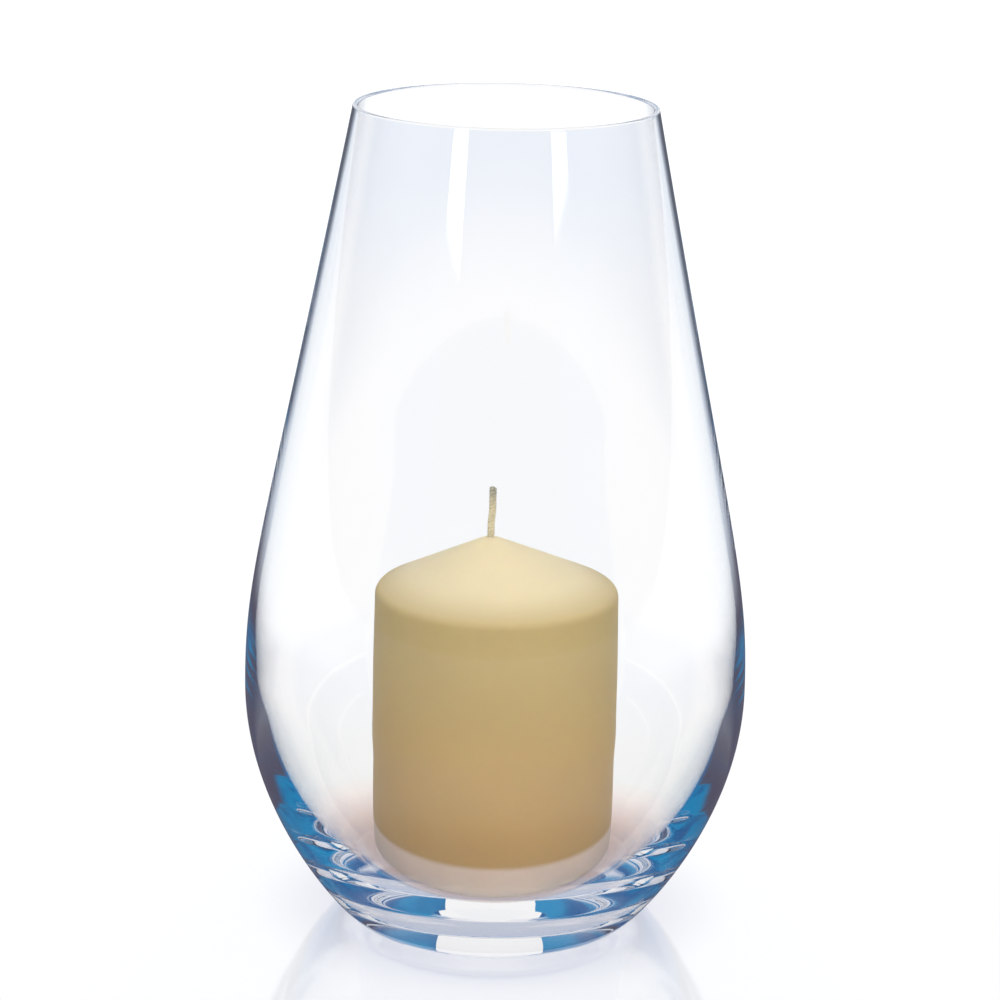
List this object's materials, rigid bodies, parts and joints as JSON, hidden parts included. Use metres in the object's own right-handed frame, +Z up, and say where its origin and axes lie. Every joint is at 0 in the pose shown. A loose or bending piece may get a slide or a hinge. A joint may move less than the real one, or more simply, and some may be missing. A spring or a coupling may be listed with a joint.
{
  "type": "hurricane candle lantern",
  "caption": "Teardrop-shaped clear glass hurricane lantern with a heavy base, holding a loose ivory pillar candle that lifts out through the mouth.",
  "frame": {"origin": "centre of the foot, on the surface that the glass stands on", "axes": "+Z up along the axis of the glass; -Y faces the viewer, +X to the viewer's right"},
  "size_m": [0.1612, 0.1612, 0.263],
  "materials": {
    "clear_glass": "clear blown glass, fire-polished rim, ground foot",
    "ivory_wax": "satin ivory candle wax, slightly translucent, overdipped",
    "core_wax": "pressed candle wax, granular",
    "wick_cotton": "flat-braided cotton, wax-dipped",
    "tinplate": "bright tinplate"
  },
  "bodies": {
    "glass": {"glass_hurricane": "clear_glass"},
    "candle": {"candle_coat": "ivory_wax", "candle_core": "core_wax", "wick": "wick_cotton", "wick_sustainer": "tinplate"}
  },
  "joints": [
    {"name": "candle_lift", "type": "slide", "parent": "glass", "child": "candle", "axis": [0, 0, 1], "range_m": [0, 0.26]}
  ]
}
